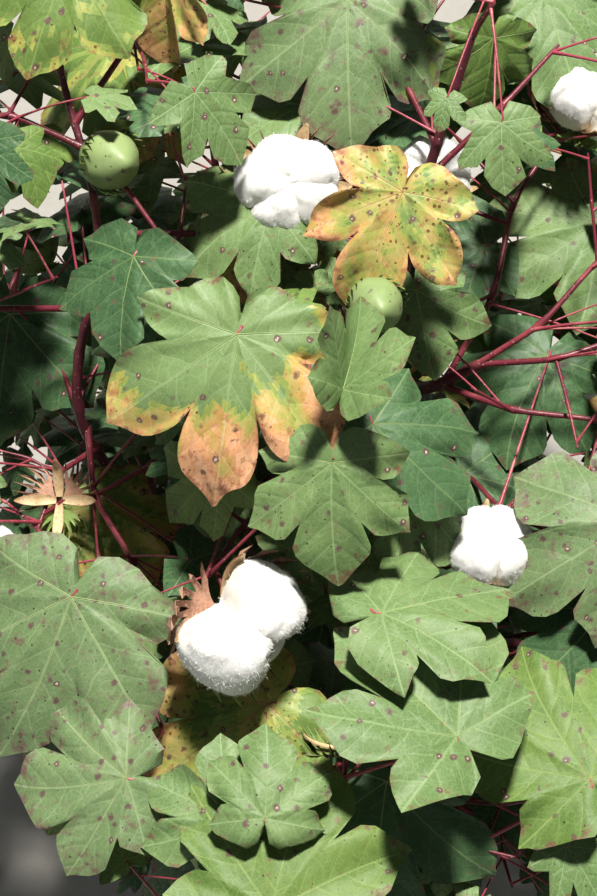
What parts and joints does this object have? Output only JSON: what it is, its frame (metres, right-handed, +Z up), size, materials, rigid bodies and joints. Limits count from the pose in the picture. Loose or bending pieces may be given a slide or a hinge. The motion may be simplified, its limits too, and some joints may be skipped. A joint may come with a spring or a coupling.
{
  "type": "cotton plant",
  "caption": "Bushy crop plant with a flared leaning stem, long branches, lobed leaves on long stalks and fluffy open seed bolls, cut flat at ground level.",
  "frame": {"origin": "middle of the flat cut under the main stem, at ground level", "axes": "+Z up; +Y away from the side that the picture was taken from; +X to its right"},
  "size_m": [0.8208, 0.848, 0.8134],
  "materials": {
    "stem": "smooth maroon bark with a slight sheen, tan scars at the nodes",
    "foliage": "matt green leaves with specks and autumn tints, white lint, dry brown claws"
  },
  "bodies": {
    "root": {"back_left_limb": "stem", "back_right_limb": "stem", "front_limb": "stem", "left_limb": "stem", "main_stem": "stem", "right_front_limb": "stem", "right_limb": "stem", "back_left_limb_spray_1": "foliage", "back_left_limb_spray_2": "foliage", "back_left_limb_spray_3": "foliage", "back_left_limb_spray_4": "foliage", "back_left_limb_spray_5": "foliage", "back_right_limb_spray_1": "foliage", "back_right_limb_spray_2": "foliage", "back_right_limb_spray_3": "foliage", "back_right_limb_spray_4": "foliage", "back_right_limb_spray_5": "foliage", "front_limb_spray_1": "foliage", "front_limb_spray_2": "foliage", "front_limb_spray_3": "foliage", "front_limb_spray_4": "foliage", "front_limb_spray_5": "foliage", "front_limb_spray_6": "foliage", "left_limb_spray_1": "foliage", "left_limb_spray_10": "foliage", "left_limb_spray_11": "foliage", "left_limb_spray_2": "foliage", "left_limb_spray_3": "foliage", "left_limb_spray_4": "foliage", "left_limb_spray_5": "foliage", "left_limb_spray_6": "foliage", "left_limb_spray_7": "foliage", "left_limb_spray_8": "foliage", "left_limb_spray_9": "foliage", "main_stem_spray_1": "foliage", "main_stem_spray_10": "foliage", "main_stem_spray_11": "foliage", "main_stem_spray_2": "foliage", "main_stem_spray_3": "foliage", "main_stem_spray_4": "foliage", "main_stem_spray_5": "foliage", "main_stem_spray_6": "foliage", "main_stem_spray_7": "foliage", "main_stem_spray_8": "foliage", "main_stem_spray_9": "foliage", "right_front_limb_spray_1": "foliage", "right_front_limb_spray_2": "foliage", "right_front_limb_spray_3": "foliage", "right_front_limb_spray_4": "foliage", "right_limb_spray_1": "foliage", "right_limb_spray_2": "foliage", "right_limb_spray_3": "foliage", "right_limb_spray_4": "foliage"}
  },
  "joints": []
}
